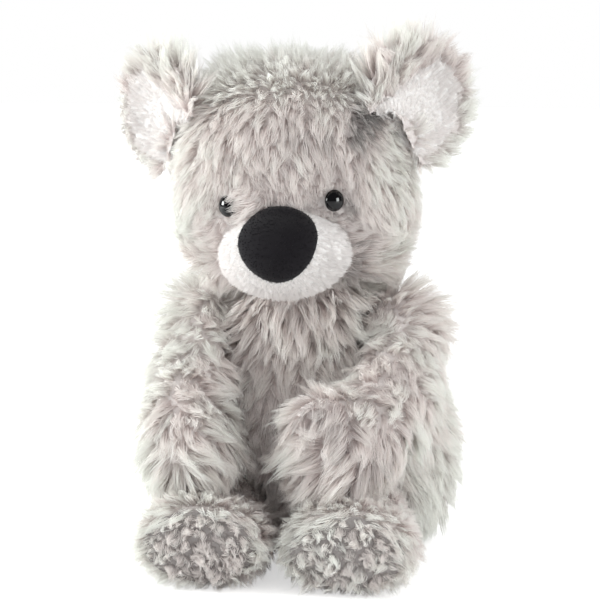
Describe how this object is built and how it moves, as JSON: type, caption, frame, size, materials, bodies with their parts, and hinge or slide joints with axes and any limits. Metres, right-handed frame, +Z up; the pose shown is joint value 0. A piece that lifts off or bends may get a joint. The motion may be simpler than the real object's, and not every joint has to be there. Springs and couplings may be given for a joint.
{
  "type": "seated plush koala toy",
  "caption": "Seated plush koala with long grey pile, a white muzzle, velour nose, glossy eyes and cupped ears; stuffed head, arms and legs that flex at their seams",
  "frame": {"origin": "centre of the whole toy's footprint, on the surface that it sits on", "axes": "+Z up, the koala faces -Y, its own left side is +X"},
  "size_m": [0.2057, 0.181, 0.2979],
  "materials": {
    "long_pile": "long grey pile fabric, locks about 15 mm long",
    "curled_pile": "shorter curled grey pile fabric",
    "short_pile": "short smooth white plush",
    "velour": "matte black velour",
    "filling": "loose polyester fibre filling, inside only",
    "bag_cloth": "plain woven cotton bag, inside only",
    "pellets": "polyethylene pellets, inside only",
    "eye_plastic": "polished black moulded safety eye",
    "washer_plastic": "moulded white lock washer, inside only"
  },
  "bodies": {
    "torso": {"torso_skin": "long_pile", "torso_stuffing": "filling", "pellet_bag": "bag_cloth", "pellet_fill": "pellets"},
    "neck": {"neck_stuffing": "filling"},
    "head": {"head_skin": "long_pile", "head_stuffing": "filling", "muzzle": "short_pile", "nose": "velour", "eye_left": "eye_plastic", "eye_right": "eye_plastic", "eye_washer_left": "washer_plastic", "eye_washer_right": "washer_plastic"},
    "ear_left": {"ear_back_left": "long_pile", "ear_lining_left": "short_pile"},
    "ear_right": {"ear_back_right": "long_pile", "ear_lining_right": "short_pile"},
    "arm_left": {"arm_skin_left": "long_pile", "arm_stuffing_left": "filling"},
    "arm_right": {"arm_skin_right": "long_pile", "arm_stuffing_right": "filling"},
    "leg_left": {"leg_skin_left": "long_pile", "leg_stuffing_left": "filling", "sole_left": "curled_pile"},
    "leg_right": {"leg_skin_right": "long_pile", "leg_stuffing_right": "filling", "sole_right": "curled_pile"}
  },
  "joints": [
    {"name": "neck_turn", "type": "hinge", "parent": "torso", "child": "neck", "pos_m": [0.00782, 0.01746, 0.143], "axis": [0, 0, 1], "range_deg": [-15, 15], "stiffness_Nm_per_rad": 1.5},
    {"name": "head_nod", "type": "hinge", "parent": "neck", "child": "head", "pos_m": [0.00782, 0.01746, 0.143], "axis": [1, 0, 0], "range_deg": [-6, 6], "stiffness_Nm_per_rad": 4},
    {"name": "ear_flex_left", "type": "hinge", "parent": "head", "child": "ear_left", "pos_m": [0.06052, 0.00625, 0.24096], "axis": [0.685, 0.5451, -0.4833], "range_deg": [-15, 15], "stiffness_Nm_per_rad": 0.15},
    {"name": "ear_flex_right", "type": "hinge", "parent": "head", "child": "ear_right", "pos_m": [-0.058, 0.00625, 0.23267], "axis": [0.6111, -0.5451, 0.574], "range_deg": [-15, 15], "stiffness_Nm_per_rad": 0.15},
    {"name": "arm_swing_left", "type": "hinge", "parent": "torso", "child": "arm_left", "pos_m": [0.06282, 0.01746, 0.127], "axis": [-0.8, -0.6, 0], "range_deg": [0, 45], "stiffness_Nm_per_rad": 0.5},
    {"name": "arm_swing_right", "type": "hinge", "parent": "torso", "child": "arm_right", "pos_m": [-0.04718, 0.01746, 0.127], "axis": [-0.8, 0.6, 0], "range_deg": [0, 45], "stiffness_Nm_per_rad": 0.5},
    {"name": "leg_splay_left", "type": "hinge", "parent": "torso", "child": "leg_left", "pos_m": [0.04782, -0.01354, 0.028], "axis": [0, 0, 1], "range_deg": [0, 15], "stiffness_Nm_per_rad": 0.5},
    {"name": "leg_splay_right", "type": "hinge", "parent": "torso", "child": "leg_right", "pos_m": [-0.03218, -0.01354, 0.028], "axis": [0, 0, -1], "range_deg": [0, 15], "stiffness_Nm_per_rad": 0.5}
  ]
}
